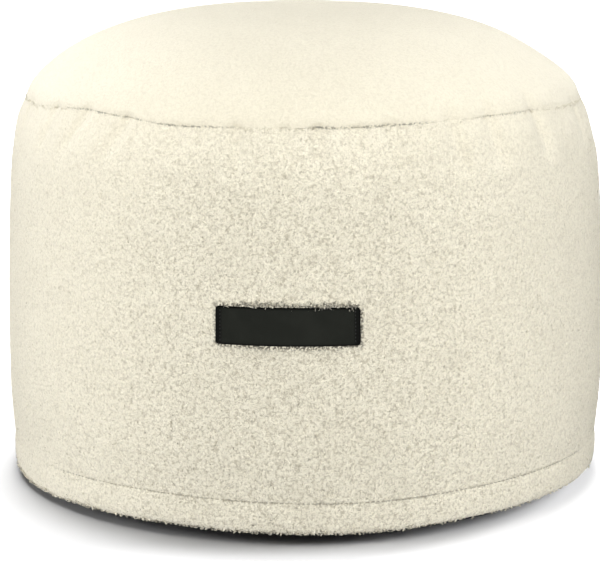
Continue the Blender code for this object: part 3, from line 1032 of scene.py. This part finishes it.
def sewHem():
    azimuths = (np.arange(hem["stitchCount"]) + 0.5) * 360.0 / hem["stitchCount"]
    shift = hem["stitchShift"]
    azimuths += np.random.default_rng(hem["seed"]).uniform(-shift, shift, len(azimuths))
    height = np.full(len(azimuths), hem["height"])
    buried = hem["buried"] * (1.0 - np.minimum(roundRows(hem["openness"], azimuths), 1.0))
    radius = sideRadius(height) + hem["thread"] * hem["threadRise"] - hem["threadSink"] - buried
    points = placed(azimuths, radius, height)
    ahead = placed(azimuths + 0.1, radius, height)
    places = []
    for angle, point, following in zip(np.radians(azimuths), points, ahead):
        places.append((Vector(point), following - point, (math.sin(angle), -math.cos(angle), 0.0)))
    return sewn("hem_stitches", hem, places)


def sewLabel():
    rows = int((label["width"] - label["stitchMargin"]) / label["stitchPitch"])
    ups = (np.arange(rows + 1) - rows / 2) * label["stitchPitch"]
    places = []
    for end in (-1, 1):
        along = np.full(len(ups), end * (halfLength - label["stitchInset"]))
        points = onLabel(along, ups, label["thickness"])
        above = onLabel(along, ups + millimetre / 2, label["thickness"])
        out = onLabel(along, ups, label["thickness"] + millimetre)
        places += [(Vector(p), a - p, o - p) for p, a, o in zip(points, above, out)]
    return sewn("label_stitches", label, places)


# Camera, floor and light.
camera = {
    "back": 2.2, "height": 0.6224, "across": -0.0047, "pitch": 0.202,
    "lens": 142.47,  # millimetres, as the sensor's width
    "sensor": 36.0, "clip": (0.05, 60.0),
}


def setCamera():
    data = bpy.data.cameras.new("camera")
    data.lens, data.sensor_width = camera["lens"], camera["sensor"]
    data.clip_start, data.clip_end = camera["clip"]
    eye = shown(bpy.data.objects.new("camera", data))
    eye.location = (camera["across"], -camera["back"], camera["height"])
    eye.rotation_euler = (math.pi / 2 - camera["pitch"], 0.0, 0.0)
    scene.camera = eye


studio = {
    "world": 0.07, "aim": (0, 0, 0.2),
    "floorSize": 14.0,  # from its middle to its edge
    "floorColour": (0.42, 0.42, 0.425, 1.0),
    "shader": {"Roughness": 1.0, "Specular IOR Level": 0.0},  # the floor's
    "floor": [  # lights for the floor alone: name, azimuth, elevation, angle, strength
        ("floorTop", 180, 81, 10.0, 2.4),
        ("floorLeft", -150, 76, 32.0, 5.0),
        ("floorSide", -95, 14, 28.0, 2.6),
        ("floorRight", 105, 14, 32.0, 12.0),
        ("floorBack", 135, 14, 20.0, 10.5),
    ],
    "boxes": [  # name, azimuth, height, distance, width, depth, power
        ("overhead", -8, 2.5, 0.4, 1.8, 1.8, 39.5),
        ("front", -2, 0.4, 3.0, 3.0, 0.8, 91.0),
        ("left", -105, 0.2, 2.8, 2.6, 1.2, 108.0),
        ("right", 93, 0.25, 2.8, 2.6, 1.2, 70.0),
        ("back", 180, 2.0, 2.6, 3.0, 2.4, 86.0),
    ],
}


def lightsOnly(name, thing, state):  # a collection that keeps a lamp to a thing, or off it
    kept = bpy.data.collections.new(name)
    kept.objects.link(thing)
    kept.collection_objects[0].light_linking.link_state = state
    return kept


def lamp(name, kind, power, receivers):
    data = bpy.data.lights.new(name, kind)
    data.energy = power
    made = shown(bpy.data.objects.new(name, data))
    made.light_linking.receiver_collection = receivers
    return made


def setStage():
    finish = shaded(newMaterial("paleFloor")[0], studio, studio["floorColour"])
    floor = grid("floor", 1, 1, studio["floorSize"], finish)
    floor.visible_diffuse = False  # the footstool is lit by the softboxes alone, not by the bright floor
    world = bpy.data.worlds.new("studio")
    world.use_nodes = True
    sky = world.node_tree.nodes["Background"].inputs
    sky["Color"].default_value = (1.0, 1.0, 1.0, 1.0)
    sky["Strength"].default_value = studio["world"]
    scene.world = world
    offFloor = lightsOnly("allButFloor", floor, "EXCLUDE")
    for name, azimuth, height, distance, width, depth, power in studio["boxes"]:
        angle = math.radians(azimuth)
        place = (distance * math.sin(angle), -distance * math.cos(angle), height)
        box = lamp(name, "AREA", power, offFloor)
        box.data.shape = "RECTANGLE"
        box.data.size, box.data.size_y = width, depth
        box.location = place
        box.rotation_euler = (Vector(studio["aim"]) - Vector(place)).to_track_quat("-Z", "Y").to_euler()
    floorAlone = lightsOnly("floorAlone", floor, "INCLUDE")
    for name, azimuth, elevation, angle, strength in studio["floor"]:
        sun = lamp(name, "SUN", strength, floorAlone)
        sun.data.angle = math.radians(angle)
        sun.rotation_euler = (math.radians(90 - elevation), 0.0, math.radians(azimuth))
    scene.view_settings.view_transform = "Standard"


setCamera()
setStage()
sideCloth = makeSide()
topCloth = makeTop()
baseCover = makeBase()
leatherLabel = makeLabel()
shapes = curlShapes()
pilePieces = []
both = "curlShare", curls["pitch"]
for part, window in curls["sideParts"]:
    pilePieces.append(growCurls("side_curls_" + part, sideCloth, *both, curls["sideSeed"], window))
for part, window in curls["topParts"]:
    name = "top_curls_" + part
    pilePieces.append(growCurls(name, topCloth, *both, curls["topSeed"], window, curls["topSink"]))
for name, share, pitch, seed, sink, lean, size in curls["lines"]:
    pilePieces.append(growCurls(name, sideCloth, share, pitch, seed, None, sink, lean, size))
hemStitches, labelStitches = sewHem(), sewLabel()
for piece in (sideCloth, topCloth):
    growRelief(piece)
print("relief grown")

for piece, node, slot in (
    (sideCloth, "side_panel", "curly_cloth"),
    (topCloth, "top_panel", "curly_cloth"),
    (baseCover, "base_panel", "base_cloth"),
    (leatherLabel, "label", "label_leather"),
):
    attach(piece, "root")
    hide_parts(node)
for piece in [*pilePieces, hemStitches]:
    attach(piece, "root")
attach(labelStitches, "root")
